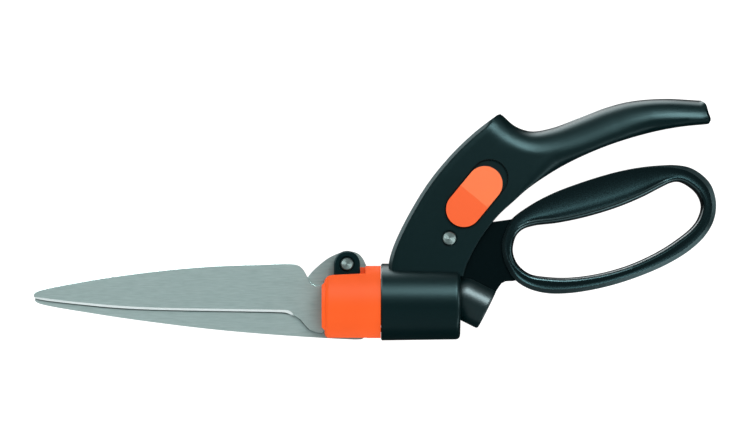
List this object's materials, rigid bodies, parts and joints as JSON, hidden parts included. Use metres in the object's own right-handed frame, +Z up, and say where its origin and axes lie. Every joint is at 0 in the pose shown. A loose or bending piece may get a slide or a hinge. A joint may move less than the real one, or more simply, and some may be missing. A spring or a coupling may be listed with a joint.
{
  "type": "grass shears",
  "caption": "One-hand grass shears: a squeeze lever with a finger loop opens and closes long blades on a head that turns about the barrel, with a sliding lock.",
  "frame": {"origin": "the ground under the middle of the tool's length and width, the tool lying on its right side", "axes": "+X from the blades' tips to the end of the grip, along the barrel's axis; +Y from the barrel to the upper grip; +Z up, out of the tool's left side, along the lever's and blades' pivots"},
  "size_m": [0.3506, 0.1246, 0.0396],
  "materials": {
    "black_plastic": "satin moulded, fine grain",
    "orange_plastic": "satin moulded",
    "white_plastic": "moulded bearing plastic",
    "blade_steel": "ground lengthwise, bright cutting bevel",
    "pin_steel": "turned",
    "spring_steel": "drawn wire",
    "bronze": "sintered bush"
  },
  "bodies": {
    "handle": {"main_handle": "black_plastic", "lever_pivot_pin": "pin_steel", "lever_pivot_washers": "white_plastic"},
    "lever": {"squeeze_lever": "black_plastic", "ball_retainer_plug": "black_plastic", "lever_pivot_bush": "bronze"},
    "rod": {"pull_rod": "pin_steel", "crank_pin": "pin_steel"},
    "head": {"head_core": "black_plastic", "head_collar": "orange_plastic", "head_retaining_ring": "spring_steel", "head_rear_bush": "white_plastic", "return_spring": "spring_steel", "detent_ball": "pin_steel", "detent_spring": "spring_steel", "blade_pivot_screw": "pin_steel", "blade_pivot_nut": "pin_steel", "blade_spring_washer": "spring_steel", "fixed_blade": "blade_steel", "fixed_blade_pins": "pin_steel"},
    "blade": {"moving_blade": "blade_steel"},
    "lock": {"lock_button_left": "orange_plastic", "lock_button_right": "orange_plastic", "lock_bar": "pin_steel"}
  },
  "joints": [
    {"name": "lever_squeeze", "type": "hinge", "parent": "handle", "child": "lever", "pos_m": [0.0383, -0.00955, 0.0198], "axis": [0, 0, 1], "range_deg": [-15, 0], "stiffness_Nm_per_rad": 2.3, "springref_deg": -22.35},
    {"name": "head_turn", "type": "hinge", "parent": "handle", "child": "head", "pos_m": [0.0033, -0.04235, 0.0198], "axis": [1, 0, 0], "continuous": true},
    {"name": "rod_pull", "type": "slide", "parent": "head", "child": "rod", "axis": [1, 0, 0], "range_m": [-0.0087, 0.0001], "deforming": ["return_spring"]},
    {"name": "blade_open", "type": "hinge", "parent": "head", "child": "blade", "pos_m": [-0.0142, -0.02275, 0.0198], "axis": [0, 0, 1], "range_deg": [-24.8, 0.1]},
    {"name": "lock_slide", "type": "slide", "parent": "handle", "child": "lock", "axis": [0.6361, 0.7716, 0], "range_m": [0, 0.0039]}
  ],
  "couplings": [
    {"joint": "rod_pull", "follows": "lever_squeeze", "m_per_rad": 0.032846},
    {"joint": "blade_open", "follows": "lever_squeeze", "ratio": 1.6497}
  ]
}
